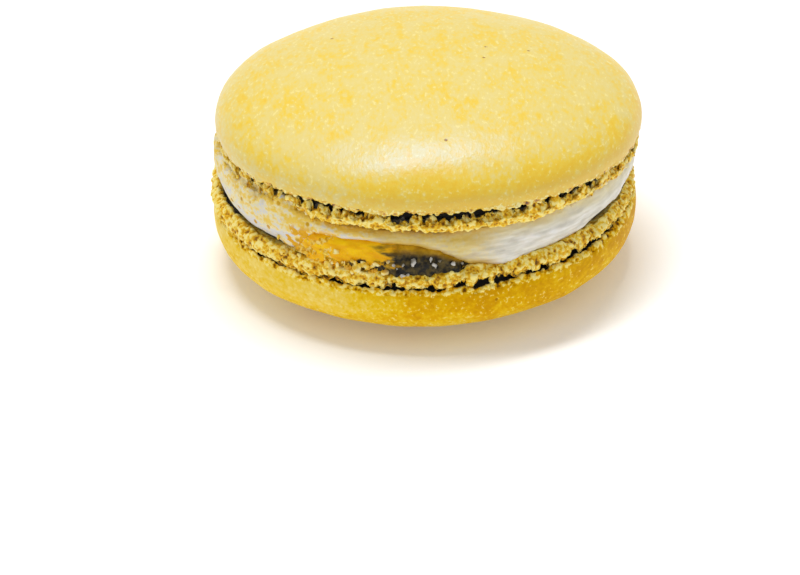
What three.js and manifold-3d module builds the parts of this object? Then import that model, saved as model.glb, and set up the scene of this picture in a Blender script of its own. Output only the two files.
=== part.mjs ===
// A macaron: two baked almond shells with a layer of pale cream between them, and in the cream a
// pool of dark caramel that has run out to the rim at one side.
// Millimetres, +Z up. The lower shell rests on its crown, and the origin is the middle of the
// flat spot there. The caramel shows towards -Y.
import * as THREE from "three";
import { ImprovedNoise } from "three/addons/math/ImprovedNoise.js";
import { mergeVertices } from "three/addons/utils/BufferGeometryUtils.js";
import Module from "manifold-3d";

const wasm = await Module();
wasm.setup();

// The shells. Each is a smooth dome over a ruffled foot, which it overhangs by a thin lip.
const SHELL_RADIUS = 23.5; // the dome where it is widest
const UPPER_DOME_HEIGHT = 8.8; // from the top of the foot to the crown
const LOWER_DOME_HEIGHT = 8;
const UPPER_DOME_SQUARENESS = 2.15; // exponent of the dome's outline, where 2 is an ellipse
const LOWER_DOME_SQUARENESS = 2.8;
const REST_FLAT = 0.3; // how much of the lower crown is flattened by its own weight
const FOOT_HEIGHT = 2.3;
const FOOT_RADIUS = 22.9;
const FOOT_BULGE = 0.35; // how far the foot swells halfway up
const FOOT_EDGE_ROUNDING = 0.4; // how far its free edge draws in
const LIP_RADIUS = 23.1; // the dome's lower edge
const LIP_RISE = 1.2; // from the lip's edge to the dome's widest level
const LIP_FULLNESS = 0.12; // how far the lip stands out of a straight slope halfway up
const CRACK_HEIGHT = 0.35; // the dark gap between the lip and the foot
const CRACK_DEPTH = 1.3;

// The fillings.
const CREAM_RADIUS = 22.4;
const CREAM_HEIGHT = 3.5; // at the middle, from shell to shell
const CREAM_BULGE = 0.45; // how far its side is pressed out
const CREAM_LOWER_TUCK = 0.5; // how far its side draws in at the lower shell
const CREAM_UPPER_TUCK = 0.15;
const CARAMEL_POOL_RADIUS = 11; // the part that stays hidden in the middle
const CARAMEL_POOL_FILL = 0.3; // its height there, as a share of the gap between the shells
const CARAMEL_MOUTH_FILL = 0.74; // its height at the rim, where it shows as a dark lens
const CARAMEL_REACH = 23.1; // from the middle to the rim
const CARAMEL_MOUTH_SPREAD = 0.4; // radians each side of its middle at the rim
const CARAMEL_MOUTH_SQUARENESS = 8; // how sharply the tongue leaves the pool
const CARAMEL_LENS_SPREAD = 0.27; // radians each side, where the lens thins out
const CARAMEL_MOUTH_ANGLE = -1.64; // radians from +X, just left of the front
const GAP = 0.3; // between touching pieces

// How the upper shell was set down: a little back, so that the front gapes.
const UPPER_SHIFT = 0.42; // towards +X
const UPPER_TILT_BACK = THREE.MathUtils.degToRad(-2.6); // about X
const UPPER_TILT_SIDE = THREE.MathUtils.degToRad(0.8); // about Y

// Unevenness: the size of its lumps, and how far they stand out.
const SHELL_WAVE = { size: 14, out: 0.5, up: 0.25 };
const FOOT_WAVE = { size: 11, out: 0.55 };
const RUFFLE = { size: 2.1, out: 0.62, lean: 0.5, stretch: 0.45 };
const CRUMB = { size: 1.15, out: 0.42 };
const FOOT_TOP = { size: 1.7, up: 0.22 };
const CREAM_WAVE = { size: 6, out: 0.7 };
const CARAMEL_WAVE = { size: 4, up: 0.12 };
const SWELL_STEEPNESS = 4; // how fast a swelling of the side fades towards the middle

// Fineness of the facets.
const FOOT_SEGMENTS = 196;
const DOME_SEGMENTS = 76;
const CREAM_SEGMENTS = 100;
const CARAMEL_SEGMENTS = 88;
const DOME_RINGS = 9;
const DOME_RING_CROWDING = 0.8; // under 1, more of the rings lie near the crown
const SIDE_RINGS = 5;
const CARAMEL_RINGS = 5;
const MERGE_DISTANCE = 1e-4;

const LOWER_SHELL_HEIGHT = FOOT_HEIGHT + LOWER_DOME_HEIGHT - REST_FLAT;
const MIDDLE_HEIGHT = LOWER_SHELL_HEIGHT + CREAM_HEIGHT / 2;
const CORE_RADIUS = LIP_RADIUS - CRACK_DEPTH;
const UPPER_TILT = new THREE.Euler(UPPER_TILT_BACK, UPPER_TILT_SIDE, 0);

const field = new ImprovedNoise();

// Smooth noise from about -0.6 to 0.6 with lumps of one size. Each seed is another piece of it.
function lumps({ x, y, z }, size, seed) {
  return field.noise(x / size + 17.3 * seed, y / size - 9.1 * seed, z / size + 5.7 * seed);
}

// A closed surface of revolution about Z, from a profile of [radius, height] that runs up the
// outside from the axis to the axis, with each of its points then moved by a function.
function turned(profile, segments, move) {
  const points = profile.map(([radius, height]) => new THREE.Vector2(radius, height));
  const geometry = new THREE.LatheGeometry(points, segments).rotateX(Math.PI / 2);
  const position = geometry.getAttribute("position");
  const point = new THREE.Vector3();
  for (let i = 0; i < position.count; i++) {
    move(point.fromBufferAttribute(position, i));
    position.setXYZ(i, point.x, point.y, point.z);
  }
  return geometry;
}

function toSolid(geometry) {
  const bare = geometry.clone().deleteAttribute("normal").deleteAttribute("uv");
  const merged = mergeVertices(bare, MERGE_DISTANCE);
  return new wasm.Manifold(
    new wasm.Mesh({
      numProp: 3,
      vertProperties: merged.getAttribute("position").array,
      triVerts: new Uint32Array(merged.index.array),
    }),
  );
}

function toGeometry(solid) {
  const mesh = solid.getMesh();
  const geometry = new THREE.BufferGeometry();
  geometry.setAttribute("position", new THREE.BufferAttribute(mesh.vertProperties, 3));
  geometry.setIndex(new THREE.BufferAttribute(mesh.triVerts, 1));
  return geometry;
}

function toMesh(name, solid, material) {
  const mesh = new THREE.Mesh(toGeometry(solid), material);
  mesh.name = name;
  return mesh;
}

// Moves a point out from the axis, by less and less towards the middle.
function swell(point, amount) {
  const radius = Math.hypot(point.x, point.y);
  const share = Math.min(1, radius / SHELL_RADIUS) ** SWELL_STEEPNESS;
  if (radius > 0) {
    const grown = 1 + (amount * share) / radius;
    point.x *= grown;
    point.y *= grown;
  }
}

// The dome with its lip, over z = FOOT_HEIGHT. Its core runs down into the foot.
function domeSolid(height, squareness, flat, seed) {
  const widest = FOOT_HEIGHT + LIP_RISE;
  const crown = FOOT_HEIGHT + height;
  const profile = [
    [0, FOOT_HEIGHT / 2],
    [CORE_RADIUS, FOOT_HEIGHT / 2],
    [CORE_RADIUS, FOOT_HEIGHT + CRACK_HEIGHT / 2],
    [LIP_RADIUS, FOOT_HEIGHT + CRACK_HEIGHT / 2],
    [(LIP_RADIUS + SHELL_RADIUS) / 2 + LIP_FULLNESS, FOOT_HEIGHT + LIP_RISE / 2],
  ];
  for (let i = 0; i < DOME_RINGS; i++) {
    const rise = Math.sin((Math.PI / 2) * (i / DOME_RINGS) ** DOME_RING_CROWDING);
    const radius = SHELL_RADIUS * (1 - rise ** squareness) ** (1 / squareness);
    profile.push([radius, widest + (crown - widest) * rise]);
  }
  profile.push([0, crown]);
  return toSolid(
    turned(profile, DOME_SEGMENTS, (point) => {
      const above = THREE.MathUtils.smoothstep(point.z, FOOT_HEIGHT, widest);
      const unevenness = lumps(point, SHELL_WAVE.size, seed);
      swell(point, SHELL_WAVE.out * unevenness);
      point.z += SHELL_WAVE.up * above * unevenness;
      point.z = Math.min(point.z, crown - flat);
    }),
  );
}

// The foot: the frill of burst bubbles that lifted the dome off the tray, on a flat face at z = 0.
function footSolid(seed) {
  const top = FOOT_HEIGHT - CRACK_HEIGHT / 2;
  const profile = [[0, 0]];
  for (let i = 0; i <= SIDE_RINGS; i++) {
    const share = i / SIDE_RINGS;
    const drawnIn = i === 0 ? FOOT_EDGE_ROUNDING : 0;
    profile.push([FOOT_RADIUS + FOOT_BULGE * Math.sin(Math.PI * share) - drawnIn, top * share]);
  }
  profile.push([CORE_RADIUS - GAP, top], [0, top]);
  return toSolid(
    turned(profile, FOOT_SEGMENTS, (point) => {
      const height = point.z;
      const leaning = {
        x: point.x + RUFFLE.lean * height,
        y: point.y - RUFFLE.lean * height,
        z: RUFFLE.stretch * height,
      };
      const wave = FOOT_WAVE.out * lumps(point, FOOT_WAVE.size, seed);
      const ruffles = RUFFLE.out * lumps(leaning, RUFFLE.size, seed);
      const crumbs = CRUMB.out * lumps(point, CRUMB.size, seed + 1);
      const lift = FOOT_TOP.up * (height / top) * lumps(point, FOOT_TOP.size, seed + 2);
      swell(point, wave + ruffles + crumbs);
      if (height > top / 2) point.z += lift;
    }),
  );
}

function shellSolid(domeHeight, squareness, flat, seed) {
  return domeSolid(domeHeight, squareness, flat, seed).add(footSolid(seed));
}

// The upper shell's flat face as a height over the table.
function upperFace(x, y) {
  const normal = new THREE.Vector3(0, 0, 1).applyEuler(UPPER_TILT);
  const centre = new THREE.Vector3(0, 0, CREAM_HEIGHT / 2).applyEuler(UPPER_TILT);
  const slope = normal.x * (x - UPPER_SHIFT - centre.x) + normal.y * (y - centre.y);
  return MIDDLE_HEIGHT + centre.z - slope / normal.z;
}

// How far an angle is from the middle of the caramel's mouth, in radians.
function fromMouth(angle) {
  const away = angle - CARAMEL_MOUTH_ANGLE;
  return Math.atan2(Math.sin(away), Math.cos(away));
}

// The edge of the caramel seen from above: a round pool, with a tongue that reaches the rim.
function caramelEdge(angle) {
  const off = Math.abs(fromMouth(angle)) / CARAMEL_MOUTH_SPREAD;
  const tongue = Math.exp(-(off ** CARAMEL_MOUTH_SQUARENESS));
  const reach = CARAMEL_POOL_RADIUS + (CARAMEL_REACH - CARAMEL_POOL_RADIUS) * tongue;
  return new THREE.Vector2(reach * Math.cos(angle), reach * Math.sin(angle));
}

// The caramel lies on the lower shell's flat face, with a steep round side. grow makes it larger
// all round, to cut its bed in the cream.
function caramelSolid(grow) {
  const profile = [[0, 0], [1, 0]];
  for (let i = 1; i < CARAMEL_RINGS; i++) {
    const turn = (Math.PI / 2) * (i / CARAMEL_RINGS);
    profile.push([Math.cos(turn) ** 0.2, Math.sin(turn) ** 0.7]);
  }
  profile.push([0, 1]);
  const floor = LOWER_SHELL_HEIGHT + GAP;
  const step = (2 * Math.PI) / CARAMEL_SEGMENTS;
  return toSolid(
    turned(profile, CARAMEL_SEGMENTS, (point) => {
      const share = Math.hypot(point.x, point.y);
      const angle = Math.atan2(point.y, point.x);
      const edge = caramelEdge(angle);
      const along = caramelEdge(angle + step).sub(caramelEdge(angle - step)).normalize();
      const spot = { x: share * edge.x, y: share * edge.y, z: 0 };
      const gape = upperFace(spot.x, spot.y) - LOWER_SHELL_HEIGHT;
      const lens = Math.exp(-((fromMouth(angle) / CARAMEL_LENS_SPREAD) ** 2));
      const wave = CARAMEL_WAVE.up * lumps(spot, CARAMEL_WAVE.size, 8);
      const fill = THREE.MathUtils.lerp(CARAMEL_POOL_FILL, CARAMEL_MOUTH_FILL, lens) + wave;
      const height = point.z * (fill * gape + grow);
      point.x = share * (edge.x + grow * along.y);
      point.y = share * (edge.y - grow * along.x);
      point.z = floor + (height > 0 ? height : -2 * grow);
    }),
  );
}

// The cream: a disc pressed out between the shells, with a soft uneven side.
function creamSolid() {
  const profile = [[0, 0]];
  for (let i = 0; i <= SIDE_RINGS; i++) {
    const share = i / SIDE_RINGS;
    let radius = CREAM_RADIUS + CREAM_BULGE * Math.sin(Math.PI * share);
    if (i === 0) radius -= CREAM_LOWER_TUCK;
    if (i === SIDE_RINGS) radius -= CREAM_UPPER_TUCK;
    profile.push([radius, share]);
  }
  profile.push([0, 1]);
  const floor = LOWER_SHELL_HEIGHT + GAP;
  const disc = turned(profile, CREAM_SEGMENTS, (point) => {
    const share = point.z;
    swell(point, CREAM_WAVE.out * lumps({ x: point.x, y: point.y, z: share }, CREAM_WAVE.size, 5));
    const ceiling = upperFace(point.x, point.y) - GAP;
    point.z = floor + (ceiling - floor) * share;
  });
  return toSolid(disc).subtract(caramelSolid(GAP));
}

function bakedShell() {
  return new THREE.MeshStandardMaterial({ color: 0xf2d374, roughness: 0.55, metalness: 0 });
}

function paleCream() {
  return new THREE.MeshStandardMaterial({ color: 0xe9e2d0, roughness: 0.45, metalness: 0 });
}

function darkCaramel() {
  return new THREE.MeshStandardMaterial({ color: 0x6b3c0a, roughness: 0.12, metalness: 0 });
}

const lowerSolid = shellSolid(LOWER_DOME_HEIGHT, LOWER_DOME_SQUARENESS, REST_FLAT, 1);
const lower = new THREE.Group();
lower.rotation.x = Math.PI;
lower.position.z = LOWER_SHELL_HEIGHT;
lower.add(toMesh("lower_shell", lowerSolid, bakedShell()));

const upperSolid = shellSolid(UPPER_DOME_HEIGHT, UPPER_DOME_SQUARENESS, 0, 3);
const upperShell = toMesh("upper_shell", upperSolid, bakedShell());
upperShell.position.z = CREAM_HEIGHT / 2;
const upper = new THREE.Group();
upper.rotation.copy(UPPER_TILT);
upper.position.set(UPPER_SHIFT, 0, MIDDLE_HEIGHT);
upper.add(upperShell);

const macaron = new THREE.Group();
macaron.add(lower, upper);
macaron.add(toMesh("cream_filling", creamSolid(), paleCream()));
macaron.add(toMesh("caramel_filling", caramelSolid(0), darkCaramel()));

export default macaron;
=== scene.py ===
# A macaron: two domed almond shells on ruffled feet, with pale cream between them and dark caramel
# that shows at the rim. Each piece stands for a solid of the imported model, or for part of one.
# Metres, +Z up. The macaron rests at the origin, and the caramel shows towards -Y.
import math
import random

import bpy
import numpy as np
from mathutils import Matrix, Vector


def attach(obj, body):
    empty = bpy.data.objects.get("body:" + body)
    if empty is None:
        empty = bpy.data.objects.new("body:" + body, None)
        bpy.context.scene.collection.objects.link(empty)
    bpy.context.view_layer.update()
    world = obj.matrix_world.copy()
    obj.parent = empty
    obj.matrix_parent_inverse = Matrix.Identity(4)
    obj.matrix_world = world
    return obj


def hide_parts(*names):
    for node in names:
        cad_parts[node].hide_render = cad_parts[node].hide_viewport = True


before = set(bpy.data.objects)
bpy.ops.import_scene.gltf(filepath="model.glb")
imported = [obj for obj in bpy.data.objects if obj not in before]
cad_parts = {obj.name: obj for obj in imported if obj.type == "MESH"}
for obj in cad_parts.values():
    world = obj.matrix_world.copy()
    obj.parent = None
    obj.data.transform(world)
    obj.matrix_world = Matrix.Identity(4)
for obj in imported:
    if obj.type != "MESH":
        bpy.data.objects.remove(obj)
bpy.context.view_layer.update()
MM = 0.001

# The camera: a long lens well back, looking down at the front. The macaron is seen up and to the
# right of the picture's middle, and leans a little to the left.
PICTURE_WIDTH = 800
PICTURE_HEIGHT = 575
SEEN_AT_X = 424.6  # where the filling's middle is seen, in pixels
SEEN_AT_Y = 156.5
PIXELS_PER_METRE = 9052
CAMERA_DISTANCE = 0.44
CAMERA_ELEVATION = math.radians(27.6)
CAMERA_LEAN = math.radians(1.63)
SENSOR_WIDTH = 36
NEAREST_SEEN = 0.01
FILLING_HEIGHT = 11.75  # from the table to the filling's middle, in millimetres

focal_pixels = PIXELS_PER_METRE * CAMERA_DISTANCE
filling_middle = Vector((0, 0, FILLING_HEIGHT * MM))
to_camera = Vector((0, -math.cos(CAMERA_ELEVATION), math.sin(CAMERA_ELEVATION)))
seen_towards = Vector((SEEN_AT_X - PICTURE_WIDTH / 2, PICTURE_HEIGHT / 2 - SEEN_AT_Y, -focal_pixels))
off_middle = seen_towards.rotation_difference(Vector((0, 0, -1))).to_matrix()
upright = Matrix.Rotation(math.pi / 2 - CAMERA_ELEVATION, 3, "X")
lean = Matrix.Rotation(-CAMERA_LEAN, 3, "Z")

bpy.ops.object.camera_add(location=filling_middle + to_camera * CAMERA_DISTANCE)
camera = bpy.context.object
camera.rotation_euler = (upright @ lean @ off_middle).to_euler()
camera.data.sensor_width = SENSOR_WIDTH
camera.data.lens = focal_pixels / PICTURE_WIDTH * SENSOR_WIDTH
camera.data.clip_start = NEAREST_SEEN
bpy.context.scene.camera = camera

# The studio: a white table in a white room, a wide soft lamp overhead, a little behind the macaron,
# which puts the broad matte sheen on the front of the dome.
ROOM_LIGHT = 0.56
TABLE_SIZE = 6
TABLE_COLOUR = (0.92, 0.92, 0.92, 1)
TABLE_GLOW = 0.12
LAMP_POWER = 3.9
LAMP_WIDTH = 0.46
LAMP_DEPTH = 0.09
LAMP_PLACE = Vector((-0.05, 0.09, 0.75))

bpy.ops.mesh.primitive_plane_add(size=TABLE_SIZE)
table = bpy.context.object
table.name = "table"
table_white = bpy.data.materials.new("table_white")
table_white.use_nodes = True
white = table_white.node_tree.nodes["Principled BSDF"]
white.inputs["Base Color"].default_value = TABLE_COLOUR
white.inputs["Roughness"].default_value = 0.9
white.inputs["Specular IOR Level"].default_value = 0.1
white.inputs["Emission Color"].default_value = (1, 1, 1, 1)
white.inputs["Emission Strength"].default_value = TABLE_GLOW
table.data.materials.append(table_white)

room = bpy.data.worlds.new("room")
room.use_nodes = True
room.node_tree.nodes["Background"].inputs["Color"].default_value = (1, 1, 1, 1)
room.node_tree.nodes["Background"].inputs["Strength"].default_value = ROOM_LIGHT
bpy.context.scene.world = room
bpy.context.scene.view_settings.view_transform = "Standard"

bpy.ops.object.light_add(type="AREA", location=LAMP_PLACE)
lamp = bpy.context.object
lamp.data.shape = "RECTANGLE"
lamp.data.size = LAMP_WIDTH
lamp.data.size_y = LAMP_DEPTH
lamp.data.energy = LAMP_POWER
lamp.rotation_euler = (filling_middle - LAMP_PLACE).to_track_quat("-Z", "Y").to_euler()

# The lower shell: almond meringue piped in a round, baked, and laid upside down. It has a smooth
# thin-skinned dome, and under its lip a foot, the frill of burst bubbles that lifted it off the tray.
SHELL_RADIUS = 23.5
LOWER_DOME_HEIGHT = 8.0
LOWER_SQUARENESS = 2.8
LOWER_FLAT = 0.3
FOOT_HEIGHT = 2.3
FOOT_RADIUS = 22.9
FOOT_BULGE = 0.35
FOOT_CORNER = 0.45
FOOT_SQUARENESS = 8
FACE_RADIUS = 20.8  # of the middle of the foot's flat face, which needs few points
LOWER_SHELL_HEIGHT = 10.0
WIDEST = 3.5  # the height where a dome is widest
SHOULDER = 0.8  # how far above that the points stay close
# Outlines as radius and height: the lip, and the hollows behind it and behind the frill.
LIP = [(22.8, 2.3), (23.0, 2.24), (23.2, 2.38), (23.36, 2.7), (23.46, 3.1), (SHELL_RADIUS, WIDEST)]
LIP_HOLLOW = [(21.0, 1.4), (21.2, 2.6), (21.8, 3.0), (22.4, 2.8), LIP[0]]
FRILL_HOLLOW = [(22.8, 2.25), (22.55, 2.3), (22.3, 1.3), (21.3, 1.0), (21.1, 2.0)]
# The meshes: steps round the axis, points along a curve, and gaps between points in millimetres.
SPIN_STEPS = 480
ARCH_POINTS = 900
SIDE_POINTS = 200
TUCKED_POINTS = 8  # the foot's topmost, which make way for the frill's hollow
FINE = 0.1
MEDIUM = 0.35
COARSE = 2.5
SAME_PLACE = 0.001
PATTERN_SHIFT = (0.1, 0.07, 0.05)  # how far each seed moves a pattern, in metres
NARROWING = (10, 22)  # the radii between which a shell that is not round gives way
# Gaps under a lip: how deep they go, how their sides slope, and how far they slant.
DEEPEST_GAP = 1.25
SHALLOW_GAP = 0.3
GAP_CORE = 0.55
GAP_FADE = 1.35
GAP_SLANT = 0.03
GAP_MIDDLE = 1.6
# Each gap: its angle from the front and half width in degrees, and its depth in millimetres.
LOWER_GAPS = [
    (-26.7, 1.0, 0.6), (-9.8, 1.6, 0.8), (0.0, 1.6, 0.8), (8.6, 2.0, 0.9), (14.2, 2.6, 1.1),
    (21.0, 2.8, 1.0), (27.4, 1.8, 0.8), (33.0, 2.0, 0.9), (43.0, 2.4, 1.0), (51.0, 2.2, 1.0),
    (56.6, 1.8, 0.9),
]
# The gaps that are made at random, from one angle round the back to the other.
BACK_FROM = 60
BACK_TO = 290
BACK_STEPS = (4, 11)
BACK_HALF_WIDTHS = (0.8, 3.2)
BACK_DEPTHS = (0.5, 1.1)


def spaced(points, gap):
    """Points at equal gaps along a line."""
    points = np.array(points, float)
    lengths = np.concatenate([[0], np.cumsum(np.linalg.norm(np.diff(points, axis=0), axis=1))])
    marks = np.linspace(0, lengths[-1], max(2, round(lengths[-1] / gap) + 1))
    return np.stack([np.interp(marks, lengths, points[:, i]) for i in (0, 1)], axis=1)


def joined(*lines):
    """One line out of several, each starting where the last one ends."""
    return np.concatenate([line if i == 0 else line[1:] for i, line in enumerate(lines)])


def dome_outline(dome_height, squareness):
    """From the middle of the hidden underside, out along it, round the lip and up to the crown."""
    crown = FOOT_HEIGHT + dome_height
    arch = [(SHELL_RADIUS, WIDEST)]
    for turn in np.linspace(0, math.pi / 2, ARCH_POINTS)[1:]:
        rise = math.sin(turn)
        radius = SHELL_RADIUS * max(0, 1 - rise**squareness) ** (1 / squareness)
        arch.append((radius, WIDEST + (crown - WIDEST) * rise))
    near = [point for point in arch if point[1] < WIDEST + SHOULDER]
    far = [point for point in arch if point[1] >= WIDEST + SHOULDER]
    return joined(
        spaced([(0, LIP_HOLLOW[0][1]), LIP_HOLLOW[0]], COARSE),
        spaced(LIP_HOLLOW, 3 * FINE),
        spaced(LIP, FINE),
        spaced(near + far[:1], 1.2 * FINE),
        spaced(far, MEDIUM),
    )


def foot_outline():
    """From the middle of the flat face, out along it, up the side and back in under the dome."""
    side = []
    for share in np.linspace(0, 1, SIDE_POINTS):
        corner = FOOT_CORNER * ((1 - share) ** FOOT_SQUARENESS + share**FOOT_SQUARENESS)
        radius = FOOT_RADIUS + FOOT_BULGE * math.sin(math.pi * share) - corner
        side.append((radius, FOOT_HEIGHT * share))
    return joined(
        spaced([(0, 0), (FACE_RADIUS, 0)], COARSE),
        spaced([(FACE_RADIUS, 0), side[0]], 3 * FINE),
        spaced(side[:-TUCKED_POINTS] + FRILL_HOLLOW[:3], FINE),
        spaced(FRILL_HOLLOW[2:], 3 * FINE),
        spaced([FRILL_HOLLOW[-1], (0, FRILL_HOLLOW[-1][1])], COARSE),
    )


def turned(name, outline, steps):
    """Draws an outline point by point in millimetres, and spins it round Z to a closed piece."""
    bpy.ops.object.select_all(action="DESELECT")
    bpy.ops.mesh.primitive_plane_add(size=MM)
    piece = bpy.context.object
    piece.name = name
    piece.data.name = name
    bpy.ops.object.mode_set(mode="EDIT")
    bpy.ops.mesh.select_mode(type="VERT")
    bpy.ops.mesh.merge(type="CENTER")
    bpy.ops.transform.translate(value=(outline[0][0] * MM, 0, outline[0][1] * MM))
    for out, up in np.diff(outline, axis=0) * MM:
        bpy.ops.mesh.extrude_region_move(TRANSFORM_OT_translate={"value": (out, 0, up)})
    bpy.ops.mesh.select_all(action="SELECT")
    bpy.ops.mesh.spin(steps=steps, angle=2 * math.pi, center=(0, 0, 0), axis=(0, 0, 1))
    bpy.ops.mesh.select_all(action="SELECT")
    bpy.ops.mesh.remove_doubles(threshold=SAME_PLACE * MM)
    bpy.ops.mesh.normals_make_consistent(inside=False)
    bpy.ops.object.mode_set(mode="OBJECT")
    return piece


def places(piece):
    """The piece's vertices as rows of x, y, z, in millimetres."""
    flat = np.empty(len(piece.data.vertices) * 3)
    piece.data.vertices.foreach_get("co", flat)
    return flat.reshape(-1, 3) / MM


def rounds(piece):
    """Each vertex's distance from the axis, its height, and its angle from the front in radians."""
    at = places(piece)
    return np.hypot(at[:, 0], at[:, 1]), at[:, 2], np.arctan2(at[:, 0], -at[:, 1])


def facing(piece):
    """The direction of the surface at each vertex."""
    flat = np.empty(len(piece.data.vertices) * 3)
    piece.data.vertex_normals.foreach_get("vector", flat)
    return flat.reshape(-1, 3)


def refine_round(piece, cuts, chosen):
    """Cuts the edges that run round the piece, where both ends are chosen."""
    radius, height, _ = rounds(piece)
    ends = np.empty(len(piece.data.edges) * 2, int)
    piece.data.edges.foreach_get("vertices", ends)
    first, second = ends.reshape(-1, 2).T
    level = abs(height[first] - height[second]) < SAME_PLACE
    level &= abs(radius[first] - radius[second]) < SAME_PLACE
    bpy.ops.object.mode_set(mode="EDIT")
    bpy.ops.mesh.select_mode(type="EDGE")
    bpy.ops.mesh.select_all(action="DESELECT")
    bpy.ops.object.mode_set(mode="OBJECT")
    piece.data.edges.foreach_set("select", level & chosen[first] & chosen[second])
    bpy.ops.object.mode_set(mode="EDIT")
    bpy.ops.mesh.subdivide(number_cuts=cuts)
    bpy.ops.object.mode_set(mode="OBJECT")


def weigh(piece, name, weights):
    """A vertex group with a weight for each vertex."""
    group = piece.vertex_groups.new(name=name)
    rounded = np.round(np.clip(weights, 0, 1), 2)
    for weight in np.unique(rounded[rounded > 0]):
        group.add(np.nonzero(rounded == weight)[0].tolist(), float(weight), "REPLACE")


def step_up(value, low, high):
    """From 0 at the low limit to 1 at the high one, smoothly."""
    share = np.clip((value - low) / (high - low), 0, 1)
    return share * share * (3 - 2 * share)


def hump(value, middle, width):
    """1 at the middle, and fading to both sides."""
    return np.exp(-(((value - middle) / width) ** 2))


def carve(piece, group, depth, pattern=None, size=1, level=0.5, tall=1, seed=0, along="NORMAL", **settings):
    """Moves the surface along its normals or an axis, by a pattern of one size or evenly."""
    bpy.ops.object.empty_add(location=[shift * seed for shift in PATTERN_SHIFT])
    grid = bpy.context.object
    grid.scale = (MM, MM, MM * tall)
    bpy.context.view_layer.objects.active = piece
    piece.select_set(True)
    displace = piece.modifiers.new(group, "DISPLACE")
    if pattern:
        displace.texture = bpy.data.textures.new(group, pattern)
        displace.texture.noise_scale = size
        for name, value in settings.items():
            setattr(displace.texture, name, value)
    displace.texture_coords = "OBJECT"
    displace.texture_coords_object = grid
    displace.vertex_group = group
    displace.direction = along
    displace.mid_level = level
    displace.strength = depth * MM
    bpy.ops.object.modifier_apply(modifier=displace.name)
    bpy.data.objects.remove(grid)


def relief_since(before, outward, piece, rough):
    """How far the surface has been moved outward, less the middle value where it is rough."""
    moved = ((places(piece) - before) * outward).sum(axis=1)
    return moved - np.median(moved[rough])


def store(piece, name, values):
    """Keeps a number for each vertex, for the piece's material to read."""
    piece.data.attributes.new(name, "FLOAT", "POINT").data.foreach_set("value", values)


def gap_depth(angle, height, gaps, seed):
    """How deep the gap under the lip is: the gaps given, and more at random round the back."""
    chance = random.Random(seed)
    gaps = list(gaps)
    at = BACK_FROM
    while at < BACK_TO:
        gaps.append((at, chance.uniform(*BACK_HALF_WIDTHS), chance.uniform(*BACK_DEPTHS)))
        at += chance.uniform(*BACK_STEPS)
    depth = np.zeros_like(angle)
    for middle, half, deep in gaps:
        slant = chance.uniform(-GAP_SLANT, GAP_SLANT) * (height - GAP_MIDDLE)
        away = abs((angle - math.radians(middle) - slant + math.pi) % (2 * math.pi) - math.pi)
        half = math.radians(half)
        depth = np.maximum(depth, deep * (1 - step_up(away, GAP_CORE * half, GAP_FADE * half)))
    return depth


def dome(name, dome_height, squareness, flat, seed, ragged, turn, narrowed):
    """The smooth part of a shell, crown up, with its foot's flat face at z = 0."""
    piece = turned(name, dome_outline(dome_height, squareness), SPIN_STEPS)
    radius, height, angle = rounds(piece)
    near_lip = (height > 2) & (height < WIDEST + 0.7) & (radius > 22.5)
    refine_round(piece, cuts=2, chosen=near_lip)
    radius, height, angle = rounds(piece)
    weigh(piece, "narrow", narrowed(angle * turn) * step_up(radius, *NARROWING))
    carve(piece, "narrow", depth=-turn, along="X", level=0)
    skin = step_up(height, 2.3, 3.2) + step_up(radius, 22.2, 22.9) * (height < 3.2)
    edge = step_up(radius, 22.3, 22.8) * (1 - step_up(height, 2.4, 2.4 + ragged))
    weigh(piece, "skin", np.clip(skin, 0, 1))
    weigh(piece, "lip", step_up(radius, 22.3, 22.9) * (1 - step_up(height, 2.5, 3.3)))
    weigh(piece, "edge", edge)
    carve(piece, "skin", depth=0.55, pattern="CLOUDS", size=14, seed=seed)
    carve(piece, "skin", depth=0.1, pattern="CLOUDS", size=3, seed=seed + 1)
    carve(piece, "lip", depth=0.3, pattern="CLOUDS", size=1.0, seed=seed + 2, noise_depth=2)
    carve(piece, "lip", depth=0.5, pattern="CLOUDS", size=2.4, seed=seed + 3, along="Z")
    carve(piece, "lip", depth=0.35, pattern="CLOUDS", size=0.8, seed=seed + 6, along="Z")
    before, outward = places(piece), facing(piece)
    carve(piece, "edge", depth=0.5, pattern="VORONOI", size=0.9, level=0.4, seed=seed + 4)
    carve(piece, "edge", depth=-0.3, pattern="VORONOI", size=0.5, level=0.4, seed=seed + 5)
    store(piece, "relief", relief_since(before, outward, piece, edge > 0.5))
    # The hollow behind the lip, which the crumb colour paints dark grey: painted shade.
    inside = step_up(22.95 - radius, 0, 0.2) * (height < 3.1)
    store(piece, "ragged", np.maximum(edge, inside))
    store(piece, "rise", height)
    store(piece, "inside", inside)
    if flat:
        bpy.ops.object.mode_set(mode="EDIT")
        bpy.ops.mesh.select_all(action="SELECT")
        top = (FOOT_HEIGHT + dome_height - flat) * MM
        bpy.ops.mesh.bisect(
            plane_co=(0, 0, top), plane_no=(0, 0, 1), use_fill=True, clear_outer=True,
            threshold=SAME_PLACE * MM,
        )
        bpy.ops.object.mode_set(mode="OBJECT")
    bpy.ops.object.shade_smooth()
    return piece


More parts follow.
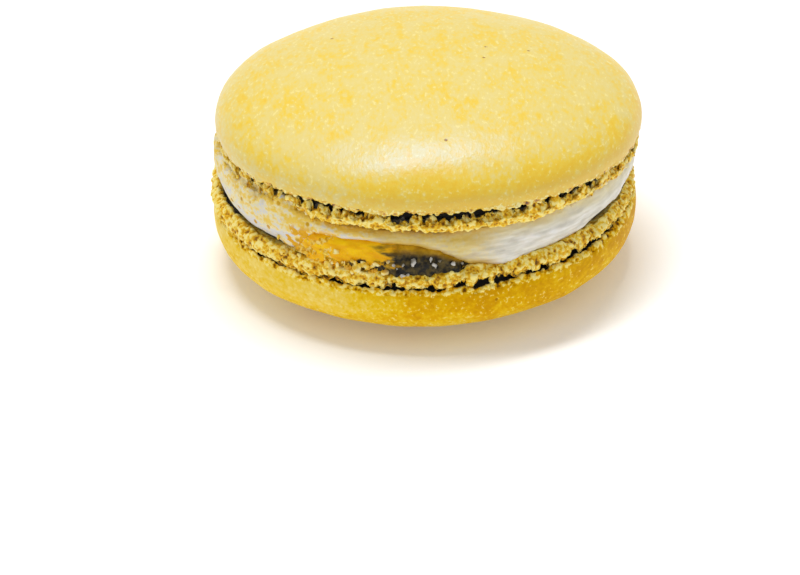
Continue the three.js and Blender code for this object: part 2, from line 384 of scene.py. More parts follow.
def foot(name, seed, gaps, turn, narrowed, smeared, pressed, crevice, closed):
    """The frill under a dome, on its flat face. Its angles are turned over for the lower shell."""
    piece = turned(name, foot_outline(), SPIN_STEPS)
    radius, height, angle = rounds(piece)
    refine_round(piece, cuts=2, chosen=radius > 22.0)
    radius, height, angle = rounds(piece)
    angle = angle * turn
    smear = smeared(angle)
    on_face = height < 0.1
    cover_fades = 1 - step_up(height, 1.2, 2.0)
    weigh(piece, "narrow", narrowed(angle) * step_up(radius, *NARROWING))
    carve(piece, "narrow", depth=-turn, along="X", level=0)
    outer = np.where(height > 0.9, step_up(radius, 22.35, 22.7), step_up(radius, 21.6, 22.4))
    weigh(piece, "side", outer)
    weigh(piece, "crumb", outer * (1 - 0.2 * smear))
    weigh(piece, "covered", smear * outer * cover_fades)
    top = step_up(height, 0.9, 2.1) * step_up(radius, 22.2, 22.5)
    top = top * (1 - closed(angle))
    weigh(piece, "gaps", gap_depth(angle, height, gaps, seed) / DEEPEST_GAP * top)
    weigh(piece, "slits", (1 - 0.4 * smear) * top)
    weigh(piece, "pressed", pressed(angle) * step_up(radius, 21.5, 22.5) * (1 - step_up(height, 0.2, 2)))
    groove = step_up(radius, 21.0, 21.5) * (1 - step_up(radius, 22.3, 22.5))
    weigh(piece, "crevice", crevice(angle) * groove * on_face)
    weigh(piece, "rim", crevice(angle) * step_up(radius, 22.4, 22.7) * (1 - step_up(height, 0.5, 2)))
    carve(piece, "side", depth=0.5, pattern="CLOUDS", size=11, seed=seed)
    carve(piece, "crevice", depth=1.4, along="Z", level=0)
    carve(piece, "rim", depth=0.4, level=0)
    carve(piece, "covered", depth=-0.35, level=0)
    carve(
        piece, "gaps", depth=-1.15, pattern="CLOUDS", size=0.8, level=0, seed=seed + 5, along="Z",
        contrast=3, intensity=1.35, noise_depth=2,
    )
    carve(
        piece, "slits", depth=-SHALLOW_GAP, pattern="CLOUDS", size=0.7, level=0, seed=seed + 6,
        along="Z", contrast=4,
    )
    carve(piece, "crumb", depth=0.6, pattern="CLOUDS", size=1.7, seed=seed + 1, tall=1.6)
    before, outward = places(piece), facing(piece)
    carve(
        piece, "crumb", depth=0.5, pattern="VORONOI", size=1.2, level=0.2, seed=seed + 2,
        weight_1=-1, weight_2=1,
    )
    carve(piece, "crumb", depth=0.3, pattern="VORONOI", size=0.6, level=0.4, seed=seed + 3)
    carve(piece, "crumb", depth=0.4, pattern="CLOUDS", size=0.55, seed=seed + 4, noise_depth=1)
    store(piece, "relief", relief_since(before, outward, piece, outer > 0.9))
    carve(piece, "pressed", depth=0.2, along="Z", level=0)
    store(piece, "rise", height)
    store(piece, "smear", smear * cover_fades)
    # Where the foot is hidden behind the lip, sunk in the crevice or deep under the cream, the crumb colour
    # paints it dark grey: painted shade.
    hidden = (1 - step_up(radius, 22.55, 22.75)) * step_up(height, 0.6, 0.95)
    sunk = crevice(angle) * (1 - step_up(radius, 22.4, 22.55)) * on_face
    deep_in = 1 - step_up(radius, 21.4, 22.0)
    store(piece, "inside", np.maximum(np.maximum(hidden, sunk), deep_in))
    bpy.ops.object.shade_smooth()
    return piece


def linear(red, green, blue):
    """A colour as it is seen, 0 to 255, as the shaders take it."""
    seen = np.array([red, green, blue]) / 255
    return (*np.where(seen <= 0.04045, seen / 12.92, ((seen + 0.055) / 1.055) ** 2.4), 1)


def add_node(tree, kind, inputs=(), **settings):
    """A shader node with its settings, and its inputs given as values or as other nodes' outputs."""
    node = tree.nodes.new(kind)
    for name, value in settings.items():
        setattr(node, name, value)
    for name, value in dict(inputs).items():
        if isinstance(value, bpy.types.NodeSocket):
            tree.links.new(value, node.inputs[name])
        else:
            node.inputs[name].default_value = value
    return node


def ramp(tree, value, stops):
    """A colour ramp over a value, from a list of positions and colours."""
    node = add_node(tree, "ShaderNodeValToRGB", {"Fac": value})
    while len(node.color_ramp.elements) < len(stops):
        node.color_ramp.elements.new(0.5)
    for element, (position, colour) in zip(node.color_ramp.elements, stops):
        element.position = position
        element.color = colour
    return node.outputs["Color"]


def blend_colours(tree, share, first, second):
    """Mixes two colours, with a share of 1 for the second alone."""
    node = add_node(tree, "ShaderNodeMix", data_type="RGBA", blend_type="MIX")
    for socket, value in ((node.inputs[0], share), (node.inputs[6], first), (node.inputs[7], second)):
        if isinstance(value, bpy.types.NodeSocket):
            tree.links.new(value, socket)
        else:
            socket.default_value = value
    return node.outputs[2]


def grain(tree, at, size, detail=2):
    """Noise from about 0.3 to 0.7 with grains of one size, in millimetres."""
    inputs = {"Vector": at, "Scale": 1 / size, "Detail": detail}
    return add_node(tree, "ShaderNodeTexNoise", inputs).outputs["Fac"]


def spread(tree, value, low, high, to_low=0, to_high=1):
    """Maps a value between two limits."""
    inputs = {"Value": value, 1: low, 2: high, 3: to_low, 4: to_high}
    return add_node(tree, "ShaderNodeMapRange", inputs, interpolation_type="SMOOTHSTEP").outputs[0]


def kept(tree, name):
    """A number that was stored for each of the piece's vertices."""
    return add_node(tree, "ShaderNodeAttribute", attribute_name=name).outputs["Fac"]


def stretched(tree, at, scale):
    """The place with a scale for each axis, so that a pattern is drawn out along some of them."""
    return add_node(tree, "ShaderNodeMapping", {"Vector": at, "Scale": scale}).outputs["Vector"]


def axes(tree, at):
    return add_node(tree, "ShaderNodeSeparateXYZ", {"Vector": at}).outputs


def new_material(name):
    """A bare shader, and its place on the piece in millimetres."""
    material = bpy.data.materials.new(name)
    material.use_nodes = True
    tree = material.node_tree
    shader = tree.nodes["Principled BSDF"]
    at = add_node(tree, "ShaderNodeTexCoord").outputs["Object"]
    return material, tree, shader, stretched(tree, at, (1 / MM, 1 / MM, 1 / MM))


def bump(tree, shader, height, depth, strength=1.0):
    """Fine relief that is only shaded, with its depth in millimetres."""
    inputs = {"Height": height, "Strength": strength, "Distance": depth * MM}
    node = add_node(tree, "ShaderNodeBump", inputs)
    tree.links.new(node.outputs["Normal"], shader.inputs["Normal"])


def calculate(tree, operation, first, second):
    return add_node(tree, "ShaderNodeMath", {0: first, 1: second}, operation=operation).outputs[0]


def plus(tree, first, second):
    return calculate(tree, "ADD", first, second)


def times(tree, first, second):
    return calculate(tree, "MULTIPLY", first, second)


def summed(tree, first, *others):
    """Several values added up, each given with its share."""
    total = times(tree, *first)
    for other in others:
        total = plus(tree, total, times(tree, *other))
    return total


def dots(tree, at, apart, core, edge, passed_over):
    """Round dots in the cells of a pattern, where a share of the cells is passed over."""
    cells = add_node(tree, "ShaderNodeTexVoronoi", {"Vector": at, "Scale": 1 / apart})
    chosen = add_node(tree, "ShaderNodeSeparateColor", {"Color": cells.outputs["Color"]}).outputs["Red"]
    dot = spread(tree, cells.outputs["Distance"], core, edge, 1, 0)
    return times(tree, dot, spread(tree, chosen, passed_over, passed_over + 0.02))


def crumb_and_shade_colour(tree, fine):
    """Pale on the crests, golden between them, and brown to near black down in the burst bubbles, partly the
    crumb's own colour and partly painted shade; the gaps and hollows are painted dark grey as painted shade.
    """
    uneven = plus(tree, kept(tree, "relief"), spread(tree, fine, 0.3, 0.7, -0.12, 0.2))
    # The lower stops, set by how deep the surface lies, are partly painted shade in the pits.
    crumb = ramp(tree, spread(tree, uneven, -0.4, 0.4), [
        (0.0, linear(66, 54, 34)),
        (0.17, linear(164, 112, 0)),
        (0.36, linear(228, 168, 0)),
        (0.56, linear(241, 202, 44)),
        (0.82, linear(253, 234, 140)),
    ])
    # Painted shade: the gaps and hollows marked as inside are coloured dark grey.
    return blend_colours(tree, kept(tree, "inside"), crumb, linear(80, 77, 72))


def baked_skin(name, deep, golden, middle, pale, left_tone, right_tone):
    """The dome's skin: matte and sandy, with a few pores, a ragged lip, and a tone near the lip that is
    partly the bake's colour and partly painted light and painted shade.
    """
    material, tree, shader, at = new_material(name)
    drawn = stretched(tree, at, (1, 0.5, 1))
    fine = grain(tree, drawn, 0.36)
    mottle = grain(tree, drawn, 0.9)
    broad = grain(tree, drawn, 4)
    across = axes(tree, at)["X"]
    # Near the lip the tone is made paler or deeper, differently at the left and the right: partly the bake's
    # colour, partly painted light and painted shade.
    near_lip = spread(tree, kept(tree, "rise"), 3.2, 8.5, 1, 0)
    lip_tone_and_shade = times(tree, near_lip, spread(tree, across, -10, 1, left_tone, right_tone))
    sand = summed(tree, (fine, 0.35), (mottle, 0.35), (broad, 0.3))
    toned = plus(tree, sand, lip_tone_and_shade)
    skin = ramp(tree, toned, [(0.28, deep), (0.4, golden), (0.5, middle), (0.72, pale)])
    pore = dots(tree, at, apart=2.4, core=0.045, edge=0.1, passed_over=0.75)
    pored = blend_colours(tree, pore, skin, linear(170, 118, 4))
    wandering = plus(tree, kept(tree, "ragged"), spread(tree, fine, 0.3, 0.7, -0.4, 0.4))
    colour = blend_colours(tree, spread(tree, wandering, 0.3, 0.5), pored, crumb_and_shade_colour(tree, fine))
    tree.links.new(colour, shader.inputs["Base Color"])
    bump(tree, shader, calculate(tree, "SUBTRACT", fine, pore), depth=0.04)
    return material, shader


def baked_crumb():
    """The foot's crumb, smeared with cream in places."""
    material, tree, shader, at = new_material("baked_crumb")
    fine = grain(tree, at, 0.45)
    mottle = grain(tree, at, 1.2)
    crests = plus(tree, kept(tree, "smear"), times(tree, kept(tree, "relief"), 1.2))
    cover = plus(tree, crests, spread(tree, mottle, 0.3, 0.7, -0.3, 0.3))
    smear = blend_colours(tree, spread(tree, mottle, 0.4, 0.6), linear(214, 190, 116), linear(236, 222, 168))
    colour = blend_colours(tree, spread(tree, cover, 0.55, 0.85), crumb_and_shade_colour(tree, fine), smear)
    tree.links.new(colour, shader.inputs["Base Color"])
    bump(tree, shader, fine, depth=0.12, strength=0.8)
    shader.inputs["Roughness"].default_value = 0.6
    shader.inputs["Specular IOR Level"].default_value = 0.3
    return material


def settle(piece, material, node, place=None):
    """Moves a finished piece to its place, which it then keeps in its mesh."""
    if place:
        piece.matrix_world = place
    piece.data.materials.append(material)
    bpy.ops.object.select_all(action="DESELECT")
    piece.select_set(True)
    bpy.context.view_layer.objects.active = piece
    bpy.ops.object.transform_apply(location=True, rotation=True, scale=True)
    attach(piece, "root")
    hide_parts(node)


def nowhere(angle):
    """For a shell that has no such place."""
    return np.zeros_like(angle)


def left_side(angle):
    """Where the cream has come away from the lower shell and leaves a dark crevice."""
    wide = step_up(-angle, 1.08, 1.3) * (1 - step_up(-angle, 1.7, 2.1))
    return np.maximum(wide, 0.2 * step_up(-angle, 0.7, 0.85) * (1 - step_up(-angle, 1.2, 1.5)))


def right_side(angle):
    """A thin dark line under the cream."""
    return 0.4 * step_up(angle, 0.8, 1.1) * (1 - step_up(angle, 1.6, 1.9))


def both_sides(angle):
    """The crevice at the left and the line at the right."""
    return left_side(angle) + right_side(angle)


def far_right(angle):
    """Where the lower shell is not quite round, in millimetres."""
    return 0.25 * hump(angle, 1.25, 0.6)


def closed_left(angle):
    """Where the foot meets the lip with hardly a gap."""
    return 0.85 * step_up(-angle, 0.4, 0.6) * (1 - step_up(-angle, 1.9, 2.2))


def under_caramel(angle):
    """The part of the lower foot that the caramel runs over."""
    return hump(angle, 0.0, 0.16)


# The lower dome's tones are deeper golden than the upper dome's: painted shade on the same bake. Near its
# lip it is paler at the left, which is painted light, and deeper at the right, partly the bake's colour and
# partly painted shade.
lower_shaded_tones = [linear(212, 154, 0), linear(228, 176, 0), linear(238, 198, 30), linear(246, 219, 120)]
lower_skin, shader = baked_skin("lower_skin", *lower_shaded_tones, left_tone=0.1, right_tone=-0.14)
shader.inputs["Roughness"].default_value = 0.6
shader.inputs["Specular IOR Level"].default_value = 0.12
shader.inputs["Specular Tint"].default_value = (1, 0.9, 0.3, 1)
crumb = baked_crumb()
on_lower_shell = Matrix.Translation((0, 0, LOWER_SHELL_HEIGHT * MM))
lower_place = on_lower_shell @ Matrix.Rotation(math.pi, 4, "Y")
lower_dome = dome(
    "lower_dome", LOWER_DOME_HEIGHT, LOWER_SQUARENESS, LOWER_FLAT,
    seed=1, ragged=0.5, turn=-1, narrowed=far_right,
)
settle(lower_dome, lower_skin, "lower_shell", lower_place)
lower_foot = foot(
    "lower_foot", seed=6, gaps=LOWER_GAPS, turn=-1, narrowed=far_right, smeared=nowhere,
    pressed=under_caramel, crevice=both_sides, closed=closed_left,
)
settle(lower_foot, crumb, "lower_shell", lower_place)

# The cream: piped on the lower shell and pressed out by the upper one. It is pulled into fine folds
# at the front right, lifts off the lower foot at both sides, and is smeared up over the upper foot
# at the left.
CREAM_RADIUS = 22.35
CREAM_HEIGHT = 3.5
CREAM_BULGE = 0.5
CREAM_SINK = 0.15
CREAM_CORNER = 0.35
CREAM_SQUARENESS = 9
CREAM_FACE_RADIUS = 17
CREAM_SIDE_POINTS = 100
CREAM_SIDE_GAP = 0.13
CREAM_FACE_GAP = 0.4
DEEPEST_BED = 3.2  # how far the cream makes way for the caramel
CARAMEL_HEIGHT = 3.1  # at the rim, where it stands highest
UPPER_SHIFT = 0.42
UPPER_TILT_BACK = math.radians(-2.6)
UPPER_TILT_SIDE = math.radians(0.8)

upper_tilt = Matrix.Rotation(UPPER_TILT_BACK, 4, "X") @ Matrix.Rotation(UPPER_TILT_SIDE, 4, "Y")
upper_place = Matrix.Translation(filling_middle + Vector((UPPER_SHIFT * MM, 0, 0))) @ upper_tilt
upper_place = upper_place @ Matrix.Translation((0, 0, CREAM_HEIGHT / 2 * MM))


def upper_face(x, y):
    """The height of the upper shell's flat face over the table, in millimetres."""
    middle = upper_place.to_translation() / MM
    normal = upper_place.to_3x3() @ Vector((0, 0, 1))
    return middle.z - (normal.x * (x - middle.x) + normal.y * (y - middle.y)) / normal.z


def cream_outline():
    """From the middle of the underside, out along it, up the side and back over the top."""
    low = -CREAM_SINK
    high = CREAM_HEIGHT + CREAM_SINK
    side = []
    for share in np.linspace(0, 1, CREAM_SIDE_POINTS):
        corner = CREAM_CORNER * ((1 - share) ** CREAM_SQUARENESS + share**CREAM_SQUARENESS)
        radius = CREAM_RADIUS + CREAM_BULGE * math.sin(math.pi * share) - corner
        side.append((radius, low + (high - low) * share))
    return joined(
        spaced([(0, low), (CREAM_FACE_RADIUS, low)], COARSE),
        spaced([(CREAM_FACE_RADIUS, low), side[0]], CREAM_FACE_GAP),
        spaced(side, CREAM_SIDE_GAP),
        spaced([side[-1], (CREAM_FACE_RADIUS, high)], CREAM_FACE_GAP),
        spaced([(CREAM_FACE_RADIUS, high), (0, high)], COARSE),
    )


def caramel_height(x):
    """How high the caramel stands at the rim, along the front: a low wide bank, steeper at the left."""
    rising = step_up(x, -15.5, -12.5)
    falling = 1 - step_up(x, -1, 6.5)
    return CARAMEL_HEIGHT * rising * falling


def tilt_top(piece, low, high):
    """Brings a piece made between level shells up to the tilted one, with a lattice of two layers."""
    bpy.ops.object.add(type="LATTICE")
    cage = bpy.context.object
    half = 30
    cage.location = (0, 0, (low + high) / 2 * MM)
    cage.scale = (2 * half * MM, 2 * half * MM, (high - low) * MM)
    bpy.context.view_layer.update()
    for point in cage.data.points:
        if point.co.z > 0:
            gape = upper_face(2 * half * point.co.x, 2 * half * point.co.y) - LOWER_SHELL_HEIGHT
            point.co_deform.z += (gape - CREAM_HEIGHT) / (high - low)
    bend = piece.modifiers.new("tilt", "LATTICE")
    bend.object = cage
    bpy.context.view_layer.objects.active = piece
    piece.select_set(True)
    bpy.ops.object.modifier_apply(modifier=bend.name)
    bpy.data.objects.remove(cage)


def climbing(angle):
    """How far the cream is smeared up over the upper foot: high at the left, less at the right."""
    left = step_up(angle, -1.95, -1.6) * (1 - step_up(angle, -0.75, -0.45))
    right = step_up(angle, 0.5, 0.85) * (1 - step_up(angle, 1.5, 1.8))
    return left + 0.6 * right


cream = turned("cream", cream_outline(), SPIN_STEPS)
radius, height, angle = rounds(cream)
refine_round(cream, cuts=1, chosen=radius > 21.5)
tilt_top(cream, 0, CREAM_HEIGHT)
radius, height, angle = rounds(cream)
across, along = places(cream)[:, :2].T
share = np.clip(height / (upper_face(across, along) - LOWER_SHELL_HEIGHT), 0, 1)
front = step_up(np.cos(angle), 0.3, 0.6)
outside = step_up(radius, 20, 22)
bank = np.minimum(caramel_height(across - 0.9), caramel_height(across + 0.7)) - 0.25
bank = np.clip(bank, 0, 9) * front * step_up(radius, 16, 19)
weigh(cream, "bed", bank * (1 - share) / DEEPEST_BED)
weigh(cream, "side", outside)
gap_back = 0.6 * step_up(-np.cos(angle), 0.55, 0.8)
lifted = (both_sides(angle) + gap_back) * step_up(radius, 19.5, 22) * (1 - step_up(height, 0.1, 1.7))
weigh(cream, "lifted", lifted)
weigh(cream, "undercut", np.clip(1.3 * lifted * step_up(radius, 21.2, 22), 0, 1))
weigh(cream, "swollen", climbing(angle) * outside * step_up(share, 0.35, 0.8))
weigh(cream, "climbing", climbing(angle) * outside * step_up(share, 0.5, 0.9))
weigh(cream, "pulled", hump(angle, 0.42, 0.3) * outside)
weigh(cream, "drooping", hump(angle, 0.4, 0.1) * outside * (1 - step_up(share, 0, 0.3)))
carve(cream, "bed", depth=DEEPEST_BED, along="Z", level=0)
carve(cream, "lifted", depth=0.9, along="Z", level=0)
carve(cream, "undercut", depth=-0.7, level=0)
carve(cream, "side", depth=0.7, pattern="CLOUDS", size=6, seed=21)
carve(cream, "side", depth=0.25, pattern="CLOUDS", size=1.6, seed=22, tall=0.5)
carve(cream, "swollen", depth=0.5, level=0)
carve(
    cream, "climbing", depth=1.9, pattern="CLOUDS", size=1.6, level=0, seed=24, along="Z",
    contrast=1.6,
)
carve(cream, "pulled", depth=0.3, pattern="CLOUDS", size=2.6, seed=23, tall=0.2)
carve(cream, "drooping", depth=-0.4, along="Z", level=0)
carve(cream, "drooping", depth=0.25, level=0)
above = rounds(cream)[1] - bank
stain = front * (1 - step_up(above, 0.1, 1.1)) * step_up(across, -6, -4) * (1 - step_up(across, 5, 8))
store(cream, "stain", stain * outside)
# Where the cream lifts off the lower foot, its underside is coloured dark: painted shade in the crevice.
store(cream, "under", lifted * (1 - step_up(radius, 21.6, 22.2)))
store(cream, "upper", share)
bpy.ops.object.shade_smooth()


def satin_cream():
    """Greyish at the right, yellower and patchy with caramel at the left, and drawn out in fine lines;
    painted shade darkens it at the front under the upper foot and where it lifts off the lower foot.
    """
    material, tree, shader, at = new_material("satin_cream")
    parts = axes(tree, at)
    across = parts["X"]
    lines = grain(tree, stretched(tree, at, (0.3, 0.3, 2.4)), 1.0, detail=3)
    patches = grain(tree, stretched(tree, at, (0.5, 0.5, 1.4)), 1.0, detail=3)
    sand = grain(tree, at, 0.4)
    uneven = summed(tree, (patches, 0.5), (lines, 0.5))
    plain = ramp(tree, uneven, [
        (0.36, linear(206, 202, 190)),
        (0.5, linear(224, 220, 208)),
        (0.62, linear(240, 237, 230)),
    ])
    tinged = times(tree, spread(tree, kept(tree, "upper"), 0.5, 0.95, 0, 1.6), patches)
    grey = blend_colours(tree, tinged, plain, linear(230, 216, 160))
    crumbly = summed(tree, (patches, 0.65), (sand, 0.35))
    rising = spread(tree, kept(tree, "upper"), 0.2, 0.85, -0.1, 0.05)
    yellower = plus(tree, rising, spread(tree, across, -19, -13, -0.01, 0.05))
    yellow = ramp(tree, plus(tree, crumbly, yellower), [
        (0.41, linear(216, 214, 214)),
        (0.5, linear(236, 222, 168)),
        (0.6, linear(236, 200, 80)),
    ])
    sides = blend_colours(tree, spread(tree, across, 2, 9), yellow, grey)
    # Darker and yellower in the middle at the front, under the upper foot: painted shade.
    middle = times(tree, spread(tree, across, -10, -3, 0, 0.7), spread(tree, across, 3, 9, 1, 0))
    shaded = ramp(tree, uneven, [(0.4, linear(200, 172, 84)), (0.6, linear(224, 206, 140))])
    pale = blend_colours(tree, middle, sides, shaded)
    fewer = spread(tree, across, -17, -13.5, 0.25, 0)
    blots = calculate(tree, "SUBTRACT", grain(tree, at, 0.9, detail=3), fewer)
    blot = times(tree, spread(tree, blots, 0.44, 0.5), spread(tree, across, -8.5, -11))
    low_front = times(tree, spread(tree, parts["Z"], 13, 14, 1, 0), spread(tree, parts["Y"], -8, -5, 1, 0))
    amber = blend_colours(tree, times(tree, blot, low_front), pale, linear(224, 166, 0))
    dot = dots(tree, at, apart=1.5, core=0.14, edge=0.24, passed_over=0.5)
    speck = times(tree, dot, spread(tree, across, -9, -11))
    specked = blend_colours(tree, speck, amber, linear(204, 156, 0))
    stained = blend_colours(tree, kept(tree, "stain"), specked, linear(196, 156, 40))
    # Painted shade: dark brown on the underside where the cream lifts off the lower foot.
    colour = blend_colours(tree, kept(tree, "under"), stained, linear(110, 90, 50))
    tree.links.new(colour, shader.inputs["Base Color"])
    rough = times(tree, grain(tree, at, 0.5), spread(tree, across, -12, 0, 1.2, 0.2))
    bump(tree, shader, plus(tree, uneven, rough), depth=0.2, strength=0.5)
    shader.inputs["Roughness"].default_value = 0.42
    shader.inputs["Specular IOR Level"].default_value = 0.2
    shader.inputs["Subsurface Weight"].default_value = 0.2
    shader.inputs["Subsurface Radius"].default_value = (1, 0.8, 0.6)
    shader.inputs["Subsurface Scale"].default_value = 0.5 * MM
    return material


settle(cream, satin_cream(), "cream_filling", on_lower_shell)

# The caramel: a spoonful set in the cream, which runs out at the front, dark and wet where it is
# thick, and amber where it is smeared thin over the cream on the left.
POOL_RADIUS = 11
POOL_HEIGHT = 1.1
POOL_STEPS = 240
POOL_POINTS = 60
POOL_SQUARENESS = 0.03  # near 0, for an upright side
TALLEST_BANK = 3.4  # the most that the pool is raised by
CARAMEL_REACH = 23.0
# The part of the pool that runs out to the rim: its middle angle and half width in radians.
MOUTH_MIDDLE = -0.22
MOUTH_SPREAD = 0.52


def caramel_outline():
    """A flat round pool: along its underside, up its upright side and back over its top."""
    side = []
    for turn in np.linspace(0, 1.5, POOL_POINTS):
        side.append((POOL_RADIUS * math.cos(turn) ** POOL_SQUARENESS, POOL_HEIGHT * math.sin(turn)))
    return joined(
        spaced([(0, 0), side[0]], gap=1),
        spaced(side, gap=0.045),
        spaced([side[-1], (0, POOL_HEIGHT)], gap=0.5),
    )


caramel = turned("caramel", caramel_outline(), POOL_STEPS)
radius, height, angle = rounds(caramel)
mouth_side = (abs(angle - MOUTH_MIDDLE) < MOUTH_SPREAD + 0.05) & (radius > 9.5)
refine_round(caramel, cuts=5, chosen=mouth_side)
radius, height, angle = rounds(caramel)
bpy.ops.object.mode_set(mode="EDIT")
bpy.ops.mesh.select_mode(type="VERT")
bpy.ops.mesh.select_all(action="DESELECT")
bpy.ops.object.mode_set(mode="OBJECT")
caramel.data.vertices.foreach_set("select", abs(angle - MOUTH_MIDDLE) < MOUTH_SPREAD)
bpy.ops.object.mode_set(mode="EDIT")
grow = CARAMEL_REACH / POOL_RADIUS
bpy.ops.transform.resize(value=(grow, grow, 1), center_override=(0, 0, 0))
bpy.ops.object.mode_set(mode="OBJECT")
radius, height, angle = rounds(caramel)
across = places(caramel)[:, 0]
mouth = step_up(np.cos(angle), 0.3, 0.6) * step_up(radius, 12, 18)
taller = (1.08 * caramel_height(across) + 0.05 - POOL_HEIGHT) * mouth * height / POOL_HEIGHT
weigh(caramel, "taller", taller / TALLEST_BANK)
weigh(caramel, "lower", -taller / TALLEST_BANK)
weigh(caramel, "face", step_up(radius, 19, 21.5))
lens = step_up(across, -5, -3) * (1 - step_up(across, 4, 6))
share = height / POOL_HEIGHT
weigh(caramel, "spilt", lens * (1 - step_up(share, 0, 0.35)) * step_up(radius, 19, 22))
weigh(caramel, "ending", (1 - step_up(across, -15, -11.5)) * step_up(radius, 19, 21.5))
weigh(caramel, "tapered", step_up(across, 2.5, 6.5) * step_up(radius, 19, 21.5))
weigh(caramel, "lumpy", lens * step_up(radius, 21, 22.5))
carve(caramel, "taller", depth=TALLEST_BANK, along="Z", level=0)
carve(caramel, "lower", depth=-TALLEST_BANK, along="Z", level=0)
carve(caramel, "spilt", depth=-0.2, along="Z", level=0)
carve(caramel, "spilt", depth=0.2, level=0)
carve(caramel, "ending", depth=-0.5, level=0)
carve(caramel, "tapered", depth=1.6, along="Y", level=0)
carve(caramel, "face", depth=0.7, pattern="CLOUDS", size=6, seed=21)
carve(caramel, "face", depth=0.3, pattern="CLOUDS", size=1.2, seed=31, noise_depth=1)
carve(caramel, "lumpy", depth=-0.5, pattern="VORONOI", size=0.8, level=0.4, seed=32, tall=1.6)
store(caramel, "band", lens * step_up(share, 0.5, 0.85) * step_up(radius, 20, 22))
# The top edge of the thick caramel, coloured paler: partly thin caramel over the cream, partly painted light
# over the shade line where it meets the cream.
store(caramel, "brim", lens * step_up(share, 0.82, 0.97))
bpy.ops.object.shade_smooth()


def wet_caramel():
    """Dark where it is thick, an amber film at the upper left, and ragged at its left end."""
    material, tree, shader, at = new_material("wet_caramel")
    parts = axes(tree, at)
    lumps = grain(tree, at, 0.7)
    streaks = grain(tree, stretched(tree, at, (0.4, 0.4, 1.6)), 1.0, detail=3)
    dark = ramp(tree, lumps, [(0.42, linear(28, 26, 22)), (0.64, linear(88, 74, 36))])
    amber = ramp(tree, streaks, [(0.35, linear(240, 170, 0)), (0.65, linear(255, 204, 0))])
    ochre = ramp(tree, streaks, [(0.35, linear(150, 106, 0)), (0.65, linear(206, 156, 8))])
    wandering = plus(tree, parts["X"], spread(tree, streaks, 0.3, 0.7, -1.6, 1.6))
    high = plus(tree, parts["Z"], spread(tree, lumps, 0.3, 0.7, -0.5, 0.5))
    at_left = spread(tree, wandering, -10.5, -8, 1, 0)
    raised = calculate(tree, "MAXIMUM", spread(tree, high, 10.5, 11.1), at_left)
    film = times(tree, spread(tree, wandering, -5.6, -2.8, 1, 0), raised)
    banded = blend_colours(tree, kept(tree, "band"), dark, ochre)
    # Paler along the brim: partly the thin caramel's colour, partly painted light.
    thick = blend_colours(tree, kept(tree, "brim"), banded, linear(208, 172, 60))
    caramel_colour = blend_colours(tree, film, thick, amber)
    rags = plus(tree, parts["X"], spread(tree, grain(tree, at, 0.7, detail=3), 0.3, 0.7, -4, 4))
    crumby = ramp(tree, grain(tree, at, 0.45), [
        (0.4, linear(204, 146, 4)),
        (0.5, linear(232, 184, 44)),
        (0.6, linear(242, 212, 120)),
    ])
    colour = blend_colours(tree, spread(tree, rags, -13.4, -11.6, 1, 0), caramel_colour, crumby)
    tree.links.new(colour, shader.inputs["Base Color"])
    bump(tree, shader, lumps, depth=0.25, strength=0.7)
    shader.inputs["Roughness"].default_value = 0.32
    shader.inputs["Specular IOR Level"].default_value = 0.14
    return material


settle(caramel, wet_caramel(), "caramel_filling", on_lower_shell)

# Crumbs: bits of shell caught in the caramel, left of where it is thick, and a few stuck on the cream
# at the left; and paler flecks on its dark face, which are painted glints.
# Caught: the middle angle and its spread, the middle height and its spread, and how many.
CAUGHT = [(-0.31, 0.09, 10.3, 0.35, 46), (-0.6, 0.12, 10.8, 0.6, 8)]
# Flecks, painted glints: the place across and up, and the half width and half height, in millimetres.
GLINT_FLECKS = [
    (-1.5, 11.2, 0.28, 0.55), (0.35, 11.4, 0.18, 0.34), (0.75, 10.7, 0.22, 0.44), (2.7, 10.9, 0.26, 0.26),
    (1.25, 11.3, 0.2, 0.15), (-2.1, 9.9, 0.17, 0.3), (-3.6, 10.7, 0.2, 0.26), (3.7, 10.7, 0.14, 0.12),
    (-2.6, 10.9, 0.14, 0.2), (-4.2, 11.2, 0.24, 0.2),
]
GLINT_FLECK_RADIUS = 23.0
CRUMB_RADII = (22.7, 23.2)
CRUMB_SIZES = (0.13, 0.26)
CRUMB_WIDTHS = (0.6, 1.8)
CRUMB_HEIGHTS = (0.8, 1.6)
CRUMB_LEAN = 0.3


def scatter(name, spots, chance):
    """Many small uneven lumps near the rim, joined to one piece."""
    bits = []
    for x, y, z, wide, tall in spots:
        turn = [chance.uniform(-CRUMB_LEAN, CRUMB_LEAN) for _ in range(2)] + [math.atan2(x, -y)]
        place = (x * MM, y * MM, z * MM)
        bpy.ops.mesh.primitive_ico_sphere_add(subdivisions=2, radius=MM, location=place, rotation=turn)
        bits.append(bpy.context.object)
        bits[-1].scale = (wide, min(wide, tall), tall)
    bpy.ops.object.select_all(action="DESELECT")
    for bit in bits:
        bit.select_set(True)
    bpy.context.view_layer.objects.active = bits[0]
    bpy.ops.object.join()
    piece = bpy.context.object
    piece.name = name
    piece.data.name = name
    bpy.ops.object.transform_apply(location=True, rotation=True, scale=True)
    weigh(piece, "all", np.ones(len(piece.data.vertices)))
    carve(piece, "all", depth=0.45, pattern="CLOUDS", size=0.3, noise_depth=1)
    bpy.ops.object.shade_smooth()
    return piece


chance = random.Random(3)
spots = []
for middle, spreading, level, scattered, count in CAUGHT:
    for _ in range(count):
        angle = chance.gauss(middle, spreading)
        radius = chance.uniform(*CRUMB_RADII)
        size = chance.uniform(*CRUMB_SIZES)
        place = (radius * math.sin(angle), -radius * math.cos(angle), chance.gauss(level, scattered))
        spots.append((*place, size * chance.uniform(*CRUMB_WIDTHS), size * chance.uniform(*CRUMB_HEIGHTS)))
# The flecks are pale lumps that stand for glints on the wet caramel: painted highlights.
for x, z, wide, tall in GLINT_FLECKS:
    spots.append((x, -math.sqrt(GLINT_FLECK_RADIUS**2 - x * x), z, wide, tall))
lower_crumbs_and_glints = scatter("lower_crumbs_and_glints", spots, chance)


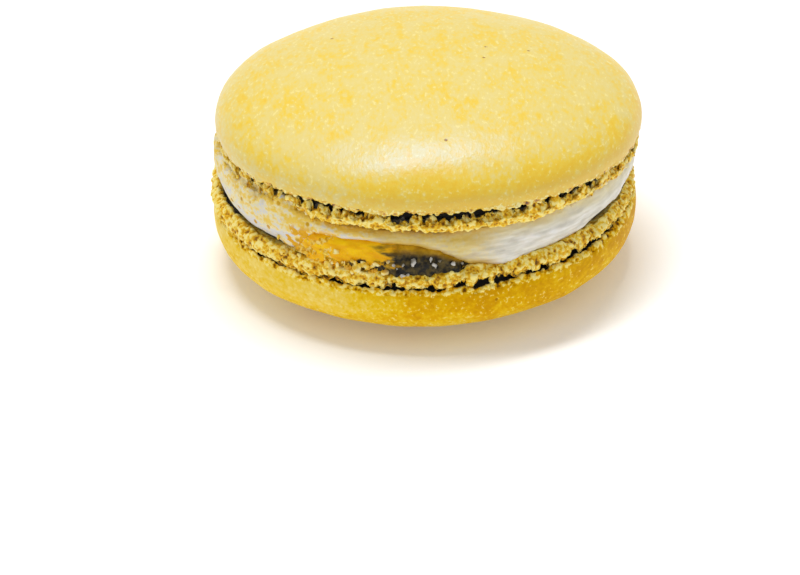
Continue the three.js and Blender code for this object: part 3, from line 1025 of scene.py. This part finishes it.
def pale_crumb_and_glint():
    """Yellowish on the crumbs at the left, and grey at the right on the flecks, which are painted glints on
    the caramel's dark face.
    """
    material, tree, shader, at = new_material("pale_crumb_and_glint")
    across = axes(tree, at)["X"]
    uneven = grain(tree, at, 0.8, detail=1)
    yellow = ramp(tree, uneven, [
        (0.35, linear(212, 156, 0)),
        (0.5, linear(242, 206, 60)),
        (0.65, linear(250, 236, 166)),
    ])
    # Grey for the flecks at the right: painted glints.
    grey = ramp(tree, uneven, [(0.35, linear(110, 104, 90)), (0.6, linear(200, 197, 190))])
    colour = blend_colours(tree, spread(tree, across, -5, -3.4), yellow, grey)
    tree.links.new(colour, shader.inputs["Base Color"])
    shader.inputs["Roughness"].default_value = 0.45
    return material


settle(lower_crumbs_and_glints, pale_crumb_and_glint(), "lower_shell")

# The upper shell: almond meringue like the lower one, crown up, and shinier on its dome; its dome is paler
# because the lower dome is coloured with painted shade.
# It is pressed on the cream, set down a little to the right, and tipped back.
UPPER_DOME_HEIGHT = 8.8
UPPER_SQUARENESS = 2.06
UPPER_GAPS = [
    (-64.0, 1.0, 0.9), (-57.0, 1.2, 1.1), (-51.5, 0.9, 1.0), (-47.0, 1.3, 1.2), (-42.5, 0.9, 1.0),
    (-38.0, 1.4, 1.2), (-33.5, 1.0, 1.0), (-28.5, 1.6, 1.0), (-24.5, 1.0, 0.8), (-19.0, 2.6, 0.8),
    (-9.2, 4.2, 1.25), (-1.0, 2.4, 0.8), (5.6, 4.4, 0.9), (15.0, 4.6, 1.0), (23.6, 2.6, 0.8),
    (32.0, 2.6, 0.9), (40.6, 3.4, 0.9), (48.9, 2.8, 0.8),
]

upper_foot = foot(
    "upper_foot", seed=46, gaps=UPPER_GAPS, turn=1, narrowed=nowhere, smeared=climbing,
    pressed=nowhere, crevice=nowhere, closed=nowhere,
)
settle(upper_foot, crumb, "upper_shell", upper_place)
upper_dome = dome(
    "upper_dome", UPPER_DOME_HEIGHT, UPPER_SQUARENESS, flat=0,
    seed=41, ragged=0.5, turn=1, narrowed=nowhere,
)
# Near its lip the upper dome is deeper golden, most at the right: partly the bake's colour and partly
# painted shade.
upper_tones = [linear(240, 196, 0), linear(240, 204, 44), linear(234, 209, 106), linear(232, 214, 138)]
upper_skin, shader = baked_skin("upper_skin", *upper_tones, left_tone=-0.05, right_tone=-0.2)
shader.inputs["Roughness"].default_value = 0.39
shader.inputs["IOR"].default_value = 1.5
shader.inputs["Specular IOR Level"].default_value = 1
shader.inputs["Specular Tint"].default_value = (0.12, 0.42, 1, 1)
settle(upper_dome, upper_skin, "upper_shell", upper_place)
